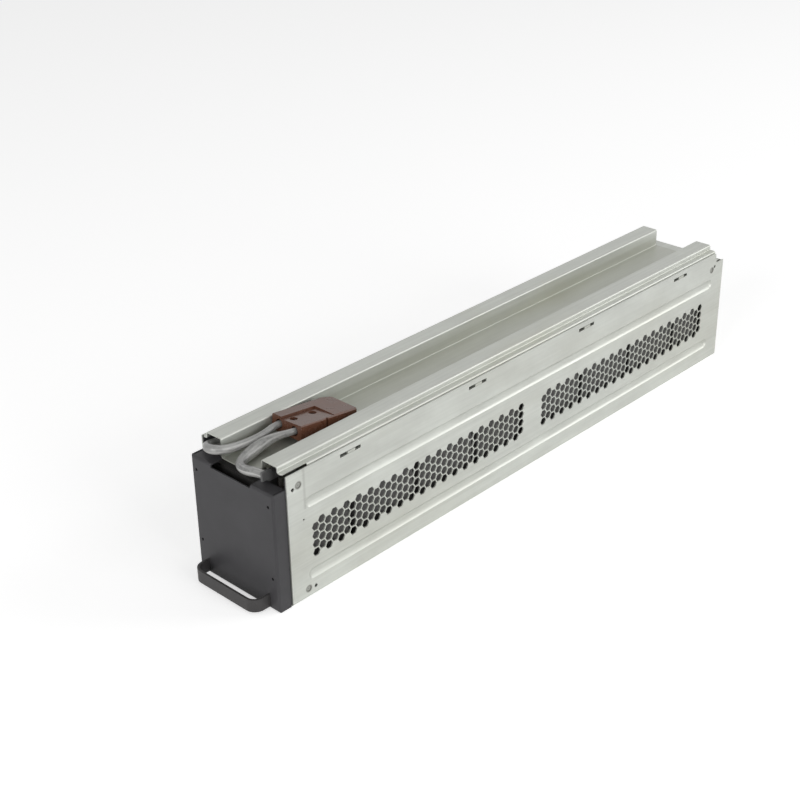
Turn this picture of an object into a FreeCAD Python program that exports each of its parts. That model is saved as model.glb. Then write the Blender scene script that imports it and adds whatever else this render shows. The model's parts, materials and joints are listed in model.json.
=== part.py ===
"""Battery cartridge of a rack uninterruptible power supply, as a parametric FreeCAD document.

A folded steel tray with perforated sides holds eight sealed 12 V blocks in a row. A folded cover with
two hollow ridges lies between the side panels, locks into their slots and houses the terminals and links.
Two short sleeved leads leave the ridges at the front and end in a two-pole connector in the cover's valley.

Frame: X across, Y from front to rear, Z up. The origin is the centre of the underside.
Every piece is modelled with Y = 0 on the face of the front panel and is then moved to the frame.
"""
import FreeCAD, Part
import math
import os
import re

import Sketcher

SIZES = [
    # overall
    ("overall_length", 625.0, "face of the front panel to the rear end of the tray"),
    ("tray_width", 100.0, "outside width across the side panels"),
    ("side_height", 120.4, "height of the side panels"),
    ("fit_gap", 0.2, "clearance between nested sheets"),
    # tray
    ("tray_sheet", 1.2, "sheet thickness of the tray"),
    ("tray_bend", 1.5, "inside bend radius of the tray"),
    ("side_front", 13.5, "front end of the tray behind the panel's face"),
    ("rear_step_height", 109.4, "height of the side panel behind its step"),
    ("rear_step_length", 14.0, "length of the low part of the side panel at the rear"),
    ("bead_width", 10.0, "width of a stiffening bead"),
    ("bead_depth", 2.2, "depth of a stiffening bead"),
    ("bead_low_height", 21.4, "height of the lower bead"),
    ("bead_high_height", 88.6, "height of the upper bead"),
    ("bead_front", 37.0, "front end of the beads before their round tips"),
    ("bead_rear_margin", 24.0, "rear end of the beads to the end of the tray"),
    ("bead_margin", 0.6, "clearance of the rear wall's ears round a bead"),
    # perforated fields
    ("hex_across", 7.0, "hexagonal hole across its flats"),
    ("hex_pitch", 8.0, "pitch of the hexagonal holes"),
    ("hex_top", 63.3, "centre of the top hole in the first column"),
    ("hex_rows", 4, "holes in a column"),
    ("hex_columns", 38, "columns in a field"),
    ("strip_columns", 10, "columns that are joined to the panel at a time"),
    ("field_first", 41.5, "first column of the front field"),
    ("field_second", 331.0, "first column of the rear field"),
    # slots, holes and weld dimples in the side panels
    ("slot_length", 23.0, "length of a locking slot"),
    ("slot_height", 3.0, "height of a locking slot"),
    ("slot_level", 114.2, "centre height of the locking slots"),
    ("slot_first", 71.0, "front end of the first locking slot"),
    ("slot_pitch", 154.6, "pitch of the locking slots"),
    ("slot_count", 4, "locking slots in a side panel"),
    ("fixing_hole", 3.2, "diameter of the fixing holes"),
    ("fixing_top_setback", 6.0, "front of the tray to its upper fixing hole"),
    ("fixing_top_level", 106.6, "height of the upper fixing hole at the front"),
    ("fixing_low_setback", 25.3, "front of the tray to its lower fixing hole"),
    ("fixing_low_level", 8.1, "height of the lower fixing hole"),
    ("fixing_rear_inset", 15.5, "rear end of the tray to its fixing hole"),
    ("fixing_rear_level", 106.2, "height of the rear fixing hole"),
    ("pin_hole", 1.6, "diameter of the gauge hole"),
    ("pin_setback", 15.9, "front of the tray to its gauge hole"),
    ("pin_level", 75.2, "height of the gauge hole"),
    ("dimple_diameter", 5.0, "diameter of a weld dimple"),
    ("dimple_depth", 0.4, "depth of a weld dimple"),
    ("dimple_top_setback", 12.0, "front of the tray to its upper dimple"),
    ("dimple_top_level", 108.3, "height of the upper dimple at the front"),
    ("dimple_low_setback", 17.5, "front of the tray to its lower dimple"),
    ("dimple_low_level", 8.9, "height of the lower dimple"),
    ("dimple_rear_inset", 20.5, "rear end of the tray to its dimple"),
    ("dimple_rear_level", 103.5, "height of the rear dimple"),
    # cover
    ("cover_sheet", 1.0, "sheet thickness of the cover"),
    ("cover_bend", 0.8, "inside bend radius of the cover"),
    ("cover_front", 12.3, "front end of the cover"),
    ("valley_height", 110.0, "top of the valley floor"),
    ("shoulder_height", 122.0, "top of the shoulders"),
    ("ridge_height", 127.0, "top of the ridges"),
    ("cover_gap", 0.5, "side panel to a flange of the cover"),
    ("shoulder_width", 6.4, "width of a shoulder beside a ridge"),
    ("ridge_width", 18.2, "width of a ridge"),
    ("valley_width", "= tray_width - 2 * (tray_sheet + cover_gap + shoulder_width + ridge_width)",
     "width of the valley between the ridges"),
    ("relief_length", 37.5, "front end of the tray's frame to where the cover's flanges begin"),
    ("relief_inset", 3.6, "outside of the tray to the shoulder's edge in front of the flanges"),
    ("relief_corner", 2.2, "radius of the shoulder's front corner"),
    ("cover_flange", 13.0, "depth of the cover's side flanges"),
    ("tab_length", 8.6, "length of a locking tab"),
    ("tab_offset", 8.4, "front end of a slot to its tab"),
    ("tab_height", 2.4, "height of a locking tab"),
    # front panel
    ("panel_sheet", 1.2, "sheet thickness of the front and rear pans"),
    ("panel_bend", 1.0, "inside bend radius of the pans"),
    ("panel_height", 108.8, "height of the front panel"),
    ("panel_tail", 17.0, "length of the front panel's ears inside the tray"),
    ("panel_ear_rise", 4.0, "underside to the lower edge of the ears"),
    ("panel_ear_top", 118.0, "height of the ears' upper edge"),
    ("panel_slit", 1.0, "width of the slits between the top flange and the side flanges"),
    ("notch_margin", 0.3, "side of the valley to the side of the notch"),
    ("notch_width", "= valley_width - 2 * notch_margin", "width of the notch in the panel's top"),
    ("notch_shift", -0.9, "sideways place of the notch"),
    ("notch_depth", 3.0, "depth of the notch below the panel's top"),
    ("panel_hole", 2.7, "diameter of the four holes in the face"),
    ("panel_hole_inset", 5.9, "side of the panel to the centre of its holes"),
    ("panel_hole_low", 30.5, "height of the lower holes in the face"),
    ("panel_hole_high", 97.0, "height of the upper holes in the face"),
    # handle
    ("handle_width", 76.0, "outside width of the handle"),
    ("handle_reach", 17.0, "face of the panel to the front of the handle"),
    ("handle_height", 11.6, "height of the handle's strap"),
    ("handle_rise", 2.5, "underside to the lower edge of the handle"),
    ("handle_sheet", 2.0, "thickness of the handle's strap"),
    ("handle_bend", 7.8, "inside bend radius of the handle"),
    ("handle_foot", 10.0, "length of a foot behind the panel"),
    # rear wall
    ("rear_wall_height", 109.4, "top of the rear wall's flange"),
    ("rear_ear", 24.0, "length of the rear wall's ears"),
    ("rear_flange_inset", 3.4, "outside of the tray to the end of the rear wall's top flange"),
    # sealed blocks
    ("block_side_gap", 3.8, "side panel to a sealed block"),
    ("block_width", "= tray_width - 2 * (tray_sheet + block_side_gap)", "sealed block across the tray"),
    ("block_height", 101.0, "sealed block to the top of its lid"),
    ("block_count", 8, "sealed blocks in the row"),
    ("block_front", 13.0, "front of the first block"),
    ("spacer_thickness", 6.5, "thickness of a foam spacer between two blocks"),
    ("block_pitch", "= (overall_length - block_front) / block_count", "pitch of the blocks"),
    ("block_length", "= block_pitch - spacer_thickness", "sealed block along the tray"),
    ("lid_height", 13.0, "height of a block's lid"),
    ("lid_ledge", 0.5, "ledge of the lid over the case"),
    ("lid_rim_drop", 1.2, "top of a block down to the rim of its lid"),
    ("spacer_inset", 6.0, "side of a block to the side of a foam spacer"),
    ("spacer_width", "= block_width - 2 * spacer_inset", "width of a foam spacer"),
    ("spacer_height", 72.0, "height of a foam spacer"),
    # terminals and links
    ("terminal_edge", 11.0, "side of a block to its terminals"),
    ("terminal_spread", "= block_width - 2 * terminal_edge", "distance between the two terminals of a block"),
    ("terminal_inset", 12.0, "edge of a block to its terminals"),
    ("terminal_width", 6.3, "width of a terminal tab"),
    ("terminal_sheet", 0.8, "thickness of a terminal tab"),
    ("terminal_height", 6.4, "height of a terminal tab above the lid"),
    ("receptacle_width", 3.4, "width of a link's receptacle"),
    ("receptacle_margin", 0.8, "wall of a receptacle past the tab"),
    ("link_sheet", 1.2, "thickness of a link between its ends"),
    ("return_width", 6.0, "width of the return strap over the last block"),
    ("return_run_width", 4.5, "width of the return strap in the ridge"),
    ("return_bend_offset", 0.6, "shift of a bend's outer corner on the return strap"),
    ("return_level", 119.4, "underside of the return strap in the ridge"),
    ("return_low", 105.4, "underside of the return strap over the last block"),
    ("return_front", 14.3, "front end of the return strap"),
    ("return_inset", 1.8, "valley wall to the near edge of the return strap"),
    # leads and their terminals
    ("lead_diameter", 7.8, "outside diameter of a sleeved lead"),
    ("lead_terminal_width", 9.0, "width of a lead's terminal housing"),
    ("lead_terminal_length", 17.0, "length of a lead's terminal housing"),
    ("flag_offset", 8.5, "inner wall of the right ridge to the outer face of the flag terminal's body"),
    ("flag_side", "= valley_width / 2 + flag_offset", "middle of the tray to that face"),
    ("flag_width", 4.8, "thickness of the flag terminal's body"),
    ("flag_front", 12.0, "front of the flag terminal's body"),
    ("flag_length", 12.0, "length of the flag terminal's body"),
    ("flag_drop", 8.6, "height of the flag terminal's body under the return strap"),
    ("flag_barrel", 2.2, "thickness of the flag terminal's barrel behind the end of the lead"),
    ("flag_overlap", 0.6, "reach of the barrel into the flag terminal's body"),
    # connector
    ("plug_width", 36.5, "width of the two-pole connector"),
    ("plug_length", 59.3, "length of the connector"),
    ("plug_height", 14.0, "height of the connector"),
    ("plug_left", -3.86, "centre of the connector's cable end across the tray"),
    ("plug_front", 64.7, "cable end of the connector behind the panel's face"),
    ("plug_top", 130.46, "top of the connector at its cable end"),
    ("plug_pitch", 5.6, "slope of the connector down to the rear, in degrees"),
    ("plug_roll", 2.2, "rise of the connector's right side, in degrees"),
    ("plug_yaw", 2.9, "turn of the connector's rear end to the right, in degrees"),
    ("plug_strip", 11.2, "width of the raised strip on the connector"),
    ("plug_recess", 1.9, "depth of the recess beside the strip"),
    ("plug_recess_edge", 0.3, "depth of the recess at the connector's side"),
    ("plug_recess_length", 35.6, "length of the recess beside the strip"),
    ("plug_bore", 4.5, "diameter of the connector's two through holes"),
    ("plug_counterbore", 6.8, "diameter of the counterbores round the holes"),
    ("plug_counterbore_depth", 3.1, "top of the connector to the floor of the counterbores"),
    ("plug_edge", 1.2, "chamfer of the connector's upper side edges"),
    ("plug_bore_first", 7.3, "cable end of the connector to its first hole"),
    ("plug_bore_pitch", 20.0, "pitch of the connector's holes"),
    ("plug_corner", 5.0, "chamfer of the connector's corner at its mating end"),
    ("pole_pitch", 19.2, "distance between the two poles"),
    ("pole_width", 13.2, "width of a pole's mouth"),
    ("pole_height", 9.4, "height of a pole's mouth"),
    ("pole_depth", 24.0, "depth of a pole's mouth"),
    ("pole_level", 7.0, "top of the connector to the middle of the poles"),
    ("entry_depth", 4.5, "depth of the lead entries"),
    ("contact_width", 9.6, "width of a contact"),
    ("contact_sheet", 2.4, "thickness of a contact"),
    ("contact_setback", 12.0, "mating end of the connector to the tip of a contact"),
    ("groove_width", 2.0, "width of the groove down the connector's sides"),
]

# Points that the leads follow, in X, Y and Z. The last one is the lead's entry into the connector.
LEFT_ROUTE = [
    (-35.0, 25.2, 115.6),
    (-36.9, 17.0, 116.4),
    (-36.6, 8.6, 118.2),
    (-30.9, 3.65, 119.8),
    (-22.7, 4.5, 120.6),
    (-17.6, 12.3, 119.8),
    (-16.7, 24.4, 118.4),
    (-15.8, 36.6, 118.0),
    (-14.2, 48.6, 119.6),
]
RIGHT_ROUTE = [
    (31.6, 7.9, 118.0),
    (24.6, 7.7, 117.6),
    (16.4, 6.2, 116.2),
    (8.2, 5.6, 115.4),
    (0.6, 9.6, 115.1),
    (-3.6, 18.2, 115.0),
    (-6.0, 27.6, 115.2),
    (-7.2, 37.0, 116.4),
    (-5.4, 46.0, 119.0),
    (-0.8, 54.0, 121.6),
]

DOCUMENT = FreeCAD.newDocument("battery_cartridge")
SHEET = DOCUMENT.addObject("Spreadsheet::Sheet", "Sizes")
NAMES = [name for name, _, _ in SIZES]
SHIFT = "(handle_reach - overall_length) / 2"
PARTS = []


def fill_sheet():
    """Write the sizes into the spreadsheet, each with its alias. A size in quotes follows from the others."""
    for row, (name, number, meaning) in enumerate(SIZES, start=1):
        SHEET.set(f"A{row}", meaning)
        SHEET.set(f"B{row}", str(number))
        SHEET.setAlias(f"B{row}", name)
    DOCUMENT.recompute()


def bound(formula):
    """Return the formula with each size's name pointing to its cell."""
    return re.sub(r"[a-z_]+", lambda word: "Sizes." * (word.group() in NAMES) + word.group(), str(formula))


def value(formula):
    """Return what the formula gives with the sizes on the sheet."""
    return float(SHEET.evalExpression(bound(formula)))


def vector(x, y, z):
    """Return the point whose coordinates the three formulas give."""
    return FreeCAD.Vector(value(x), value(y), value(z))


def origin_item(body, role):
    """Return the plane or axis of the body's own origin with this role."""
    return next(item for item in body.Origin.OriginFeatures if item.Role == role)


def new_body(label):
    """Add a body that becomes a part of its own."""
    body = DOCUMENT.addObject("PartDesign::Body", label)
    body.Label = label
    return body


def sketch_on(body, name, role, offset="0"):
    """Add a sketch on a plane of the body's origin, at an offset along the plane's normal."""
    sketch = body.newObject("Sketcher::SketchObject", f"{body.Label}_{name}")
    sketch.AttachmentSupport = (origin_item(body, role), [""])
    sketch.MapMode = "FlatFace"
    sketch.setExpression("AttachmentOffset.Base.z", bound(offset))
    return sketch


def tie(sketch, geometry, end, axis, formula):
    """Tie one coordinate of a sketch point to a formula."""
    index = sketch.addConstraint(Sketcher.Constraint(axis, -1, 1, geometry, end, value(formula)))
    sketch.setExpression(f"Constraints[{index}]", bound(formula))


def add_outline(sketch, corners):
    """Add a closed outline of straight lines whose corners are tied to formulas."""
    points = [FreeCAD.Vector(value(across), value(up), 0) for across, up in corners]
    first = sketch.GeometryCount
    count = len(points)
    sketch.addGeometry([Part.LineSegment(points[i], points[(i + 1) % count]) for i in range(count)], False)
    for i in range(count):
        sketch.addConstraint(Sketcher.Constraint("Coincident", first + i, 2, first + (i + 1) % count, 1))
    for i, (across, up) in enumerate(corners):
        tie(sketch, first + i, 1, "DistanceX", across)
        tie(sketch, first + i, 1, "DistanceY", up)


def add_rectangle(sketch, left, right, low, high):
    """Add a rectangle between four formulas."""
    add_outline(sketch, [(left, low), (right, low), (right, high), (left, high)])


def add_circle(sketch, across, up, diameter):
    """Add a circle tied to formulas for its centre and diameter."""
    centre = FreeCAD.Vector(value(across), value(up), 0)
    circle = sketch.addGeometry(Part.Circle(centre, FreeCAD.Vector(0, 0, 1), value(diameter) / 2), False)
    tie(sketch, circle, 3, "DistanceX", across)
    tie(sketch, circle, 3, "DistanceY", up)
    index = sketch.addConstraint(Sketcher.Constraint("Diameter", circle, value(diameter)))
    sketch.setExpression(f"Constraints[{index}]", bound(diameter))


def pad(body, sketch, length, backwards=False, symmetric=False):
    """Add a pad of the sketch."""
    feature = body.newObject("PartDesign::Pad", f"{sketch.Label}_pad")
    return finish_prism(body, feature, sketch, length, backwards, symmetric)


def pocket(body, sketch, length, backwards=False, symmetric=False):
    """Add a pocket of the sketch and make sure that it removes material."""
    DOCUMENT.recompute()
    before = body.Shape.Volume
    feature = body.newObject("PartDesign::Pocket", f"{sketch.Label}_pocket")
    finish_prism(body, feature, sketch, length, backwards, symmetric)
    if body.Shape.Volume >= before:
        raise ValueError(f"{sketch.Label} cuts nothing")
    return feature


def finish_prism(body, feature, sketch, length, backwards, symmetric):
    """Set what pads and pockets share."""
    feature.Profile = sketch
    feature.Reversed = backwards
    feature.SideType = "Symmetric" if symmetric else "One side"
    feature.setExpression("Length", bound(length))
    body.Tip = feature
    DOCUMENT.recompute()
    return feature


def row_of(body, feature, role, pitch, count):
    """Repeat a feature along an axis of the body and make the pattern the body's tip."""
    pattern = body.newObject("PartDesign::LinearPattern", f"{feature.Label}_row")
    pattern.Originals = [feature]
    pattern.Direction = (origin_item(body, role), [""])
    pattern.Mode = "Spacing"
    pattern.setExpression("Offset", bound(pitch))
    pattern.setExpression("Occurrences", bound(count))
    body.Tip = pattern
    DOCUMENT.recompute()
    return pattern


def straight_edges(shape, direction, accept):
    """Return the names of straight edges along a direction whose middle the test accepts."""
    names = []
    for number, edge in enumerate(shape.Edges, start=1):
        if not isinstance(edge.Curve, (Part.Line, Part.LineSegment)):
            continue
        run = edge.Vertexes[-1].Point - edge.Vertexes[0].Point
        if run.Length and abs(run.normalize().dot(direction)) > 0.999 and accept(edge.CenterOfMass):
            names.append(f"Edge{number}")
    return names


def fillet(body, edges, radius):
    """Round the named edges of the body's tip."""
    base = body.Tip
    feature = body.newObject("PartDesign::Fillet", f"{body.Label}_fillet")
    feature.Base = (base, edges)
    feature.setExpression("Radius", bound(radius))
    body.Tip = feature
    DOCUMENT.recompute()
    return feature


def near(first, second):
    """Tell whether two lengths are the same but for rounding."""
    return abs(first - second) < 0.01


def fold(body, corners, inside, sheet, direction=FreeCAD.Vector(0, 1, 0), axes="xz"):
    """Round the bends of a folded sheet: the pairs of outer and inner corners along a direction."""
    for points, radius in zip(corners, (f"{inside} + {sheet}", inside)):
        places = [(value(first), value(second)) for first, second in points]

        def accept(point):
            pair = (getattr(point, axes[0]), getattr(point, axes[1]))
            return any(near(pair[0], place[0]) and near(pair[1], place[1]) for place in places)

        fillet(body, straight_edges(body.Shape, direction, accept), radius)


def keep(label, item, shift=SHIFT):
    """Move a finished piece into the frame and keep it as a part."""
    item.Label = label
    item.setExpression(".Placement.Base.y", bound(shift))
    PARTS.append(item)


def keep_shape(label, shape):
    """Keep a shape as a part of its own."""
    feature = DOCUMENT.addObject("Part::Feature", label)
    feature.Label = label
    feature.Shape = shape
    feature.Placement = FreeCAD.Placement(vector("0", SHIFT, "0"), FreeCAD.Rotation())
    PARTS.append(feature)


def cell_height(column, row):
    """Return the height of a hole's centre. Every second column stands half a pitch higher."""
    return value("hex_top") - (row - column % 2 / 2) * value("hex_pitch")


def hexagon(centre_y, centre_z, across, outer_x):
    """Return the outline of one hexagonal hole on the outside of the right side panel."""
    radius = across / math.sqrt(3)
    corners = []
    for turn in range(6):
        angle = math.radians(60 * turn)
        along, up = radius * math.cos(angle), radius * math.sin(angle)
        corners.append(FreeCAD.Vector(outer_x, centre_y + along, centre_z + up))
    return Part.makePolygon(corners + corners[:1])


def seam(first, column, outer_x):
    """Return the zigzag between a column and the next, halfway between their holes, from low to high."""
    pitch, rows = value("hex_pitch"), int(value("hex_rows"))
    radius = pitch / math.sqrt(3)
    centre_y = value(first) + column * pitch * math.sqrt(3) / 2
    middle = centre_y + radius * 3 / 4
    points = [FreeCAD.Vector(outer_x, middle, value("hex_top") - rows * pitch)]
    for row in reversed(range(rows)):
        height = cell_height(column, row)
        points.append(FreeCAD.Vector(outer_x, centre_y + radius / 2, height - pitch / 2))
        points.append(FreeCAD.Vector(outer_x, centre_y + radius, height))
    points.append(FreeCAD.Vector(outer_x, centre_y + radius / 2, cell_height(column, 0) + pitch / 2))
    points.append(FreeCAD.Vector(outer_x, middle, value("hex_top") + pitch * 3 / 2))
    return points


def strip(first, start, end, holes):
    """Return a strip of the side panel from one column to another, solid or with its holes."""
    outer_x = value("tray_width / 2")
    front, rear = seam(first, start - 1, outer_x), seam(first, end - 1, outer_x)
    wires = [Part.makePolygon(front + rear[::-1] + front[:1])]
    for column in range(start, end) if holes else ():
        centre_y = value(first) + column * value("hex_pitch") * math.sqrt(3) / 2
        for row in range(int(value("hex_rows"))):
            wires.append(hexagon(centre_y, cell_height(column, row), value("hex_across"), outer_x))
    return Part.Face(wires).extrude(FreeCAD.Vector(-value("tray_sheet"), 0, 0))


def perforate(panelled):
    """Set the two honeycomb fields into the right side panel, in strips that are quick to join."""
    columns, width = int(value("hex_columns")), int(value("strip_columns"))
    fields = ("field_first", "field_second")
    windows = DOCUMENT.addObject("Part::Feature", "honeycomb_windows")
    windows.Shape = Part.makeCompound([strip(first, 0, columns, False) for first in fields])
    opened = DOCUMENT.addObject("Part::Cut", "opened_tray")
    opened.Base, opened.Tool, opened.Refine = panelled, windows, False
    strips = []
    for first in fields:
        for start in range(0, columns, width):
            feature = DOCUMENT.addObject("Part::Feature", f"honeycomb_{first}_{start}")
            feature.Shape = strip(first, start, min(start + width, columns), True)
            strips.append(feature)
    joined = DOCUMENT.addObject("Part::MultiFuse", "perforated_tray")
    joined.Shapes, joined.Refine = [opened] + strips, False
    return joined


def tray_blank():
    """Fold the tray: floor and two side panels, with slots and holes."""
    body = new_body("tray_blank")
    half, wall, top = "tray_width / 2", "tray_sheet", "side_height"
    sketch = sketch_on(body, "section", "XZ_Plane", "-side_front")
    right = [(half, "0"), (half, top), (f"{half} - {wall}", top), (f"{half} - {wall}", wall)]
    left = [(f"-({across})", up) for across, up in reversed(right)]
    add_outline(sketch, right + left)
    pad(body, sketch, "overall_length - side_front", backwards=True)
    outer = [(half, "0"), (f"-{half}", "0")]
    inner = [(f"{half} - {wall}", wall), (f"-({half} - {wall})", wall)]
    fold(body, (outer, inner), "tray_bend", "tray_sheet")

    ends = sketch_on(body, "ends", "YZ_Plane")
    clear = "side_height + tray_width"
    step = "overall_length - rear_step_length"
    add_outline(ends, [
        (step, clear), (step, "side_height - tray_bend * 3"), (f"{step} + tray_bend", "rear_step_height"),
        ("overall_length + tray_bend", "rear_step_height"), ("overall_length + tray_bend", clear),
    ])
    pocket(body, ends, "tray_width * 2", symmetric=True)
    behind, top_level = value(step), value("side_height")
    corners = straight_edges(body.Shape, FreeCAD.Vector(1, 0, 0),
                             lambda p: near(p.y, behind) and near(p.z, top_level))
    fillet(body, corners, "tray_bend * 2")

    slots = sketch_on(body, "slots", "YZ_Plane")
    add_rectangle(slots, "slot_first", "slot_first + slot_length",
                  "slot_level - slot_height / 2", "slot_level + slot_height / 2")
    slot = pocket(body, slots, "tray_width * 2", symmetric=True)
    row_of(body, slot, "Y_Axis", "slot_pitch", "slot_count")

    holes = sketch_on(body, "holes", "YZ_Plane")
    add_circle(holes, "side_front + fixing_top_setback", "fixing_top_level", "fixing_hole")
    add_circle(holes, "side_front + fixing_low_setback", "fixing_low_level", "fixing_hole")
    add_circle(holes, "overall_length - fixing_rear_inset", "fixing_rear_level", "fixing_hole")
    add_circle(holes, "side_front + pin_setback", "pin_level", "pin_hole")
    pocket(body, holes, "tray_width * 2", symmetric=True)

    for side, word in ((1, "right"), (-1, "left")):
        dimples = sketch_on(body, f"{word}_dimples", "YZ_Plane", f"{side} * tray_width / 2")
        add_circle(dimples, "side_front + dimple_top_setback", "dimple_top_level", "dimple_diameter")
        add_circle(dimples, "side_front + dimple_low_setback", "dimple_low_level", "dimple_diameter")
        add_circle(dimples, "overall_length - dimple_rear_inset", "dimple_rear_level", "dimple_diameter")
        pocket(body, dimples, "dimple_depth", backwards=side < 0)

    return body


def bead_tool(side, level, radius, length_margin, rounded):
    """Return a long round bar, half sunk in a side panel, that forms or clears a bead."""
    sphere_radius = (value("bead_width") ** 2 / 4 + value("bead_depth") ** 2) / (2 * value("bead_depth"))
    centre_x = side * (value("tray_width / 2 - bead_depth") + sphere_radius)
    front = value("bead_front") - length_margin
    rear = value("overall_length - bead_rear_margin") + length_margin
    start = FreeCAD.Vector(centre_x, front, value(level))
    bar = Part.makeCylinder(sphere_radius + radius, rear - front, start, FreeCAD.Vector(0, 1, 0))
    if not rounded:
        return bar
    centres = [FreeCAD.Vector(centre_x, along, value(level)) for along in (front, rear)]
    return bar.fuse([Part.makeSphere(sphere_radius + radius, centre) for centre in centres]).removeSplitter()


def tray():
    """Press the stiffening beads into the blank's side panels."""
    blank = tray_blank()
    inside = Part.makeBox(value("tray_width - tray_sheet"), value("overall_length"), value("side_height"),
                          vector("-(tray_width - tray_sheet) / 2", "0", "0"))
    ribs = []
    grooves = []
    for side in (1, -1):
        for level in ("bead_low_height", "bead_high_height"):
            rib = bead_tool(side, level, value("tray_sheet"), value("bead_width / 2"), False)
            ribs.append(rib.common(inside))
            grooves.append(bead_tool(side, level, 0, 0, True))
    rib_bars = DOCUMENT.addObject("Part::Feature", "bead_ribs")
    rib_bars.Shape = Part.makeCompound(ribs)
    groove_bars = DOCUMENT.addObject("Part::Feature", "bead_grooves")
    groove_bars.Shape = Part.makeCompound(grooves)
    ribbed = DOCUMENT.addObject("Part::Fuse", "ribbed_tray")
    ribbed.Base, ribbed.Tool, ribbed.Refine = blank, rib_bars, False
    pressed = DOCUMENT.addObject("Part::Cut", "pressed_tray")
    pressed.Base, pressed.Tool, pressed.Refine = ribbed, groove_bars, False
    keep("tray", perforate(pressed))


def cover():
    """Fold the cover: valley, two hollow ridges, shoulders and side flanges with locking tabs."""
    body = new_body("cover")
    valley, ridge = "valley_width / 2", "(valley_width / 2 + ridge_width)"
    edge, sheet = "(tray_width / 2 - tray_sheet - cover_gap)", "cover_sheet"
    foot, shoulder = "(shoulder_height - cover_flange)", "shoulder_height"
    top, floor = "ridge_height", "valley_height"
    upper = [(edge, foot), (edge, shoulder), (ridge, shoulder), (ridge, top), (valley, top), (valley, floor)]
    under = [
        (f"{edge} - {sheet}", foot), (f"{edge} - {sheet}", f"{shoulder} - {sheet}"),
        (f"{ridge} - {sheet}", f"{shoulder} - {sheet}"), (f"{ridge} - {sheet}", f"{top} - {sheet}"),
        (f"{valley} + {sheet}", f"{top} - {sheet}"), (f"{valley} + {sheet}", f"{floor} - {sheet}"),
    ]
    mirrored = lambda points: [(f"-({across})", up) for across, up in points]
    sketch = sketch_on(body, "section", "XZ_Plane", "-cover_front")
    add_outline(sketch, upper + mirrored(upper)[::-1] + mirrored(under) + under[::-1])
    pad(body, sketch, "overall_length - rear_step_length - cover_front", backwards=True)
    convex = [upper[1], upper[3], upper[4], under[2], under[5]]
    concave = [under[1], under[3], under[4], upper[2], upper[5]]
    fold(body, (convex + mirrored(convex), concave + mirrored(concave)), "cover_bend", "cover_sheet")

    for side, word in ((1, "right"), (-1, "left")):
        cut = sketch_on(body, f"{word}_relief", "YZ_Plane", f"{side} * (tray_width / 2)")
        add_rectangle(cut, "0", "relief_length", "0", "ridge_height")
        pocket(body, cut, "relief_inset", backwards=side < 0)
    front, side_place = value("cover_front"), value("tray_width / 2 - relief_inset")
    corners = straight_edges(body.Shape, FreeCAD.Vector(0, 0, 1),
                             lambda p: near(p.y, front) and near(abs(p.x), side_place))
    fillet(body, corners, "relief_corner")
    tab_start, tab_end = "slot_first + tab_offset", "slot_first + tab_offset + tab_length"
    for side, word in ((1, "right"), (-1, "left")):
        windows = sketch_on(body, f"{word}_windows", "YZ_Plane", f"{side} * tray_width / 2")
        for start, end in (("slot_first", tab_start), (tab_end, "slot_first + slot_length")):
            add_rectangle(windows, start, end, "slot_level - slot_height / 2", "slot_level + slot_height / 2")
        window = pocket(body, windows, "tray_sheet + cover_gap + cover_sheet * 1.5", backwards=side < 0)
        row_of(body, window, "Y_Axis", "slot_pitch", "slot_count")
        tabs = sketch_on(body, f"{word}_tabs", "YZ_Plane", f"{side} * ({edge} - cover_sheet / 2)")
        tab_foot = "slot_level - slot_height / 2 + fit_gap"
        add_rectangle(tabs, tab_start, tab_end, tab_foot, f"{tab_foot} + tab_height")
        tab = pad(body, tabs, "tray_sheet + cover_gap + cover_sheet / 2", backwards=side < 0)
        row_of(body, tab, "Y_Axis", "slot_pitch", "slot_count")
    keep("cover", body)


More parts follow.
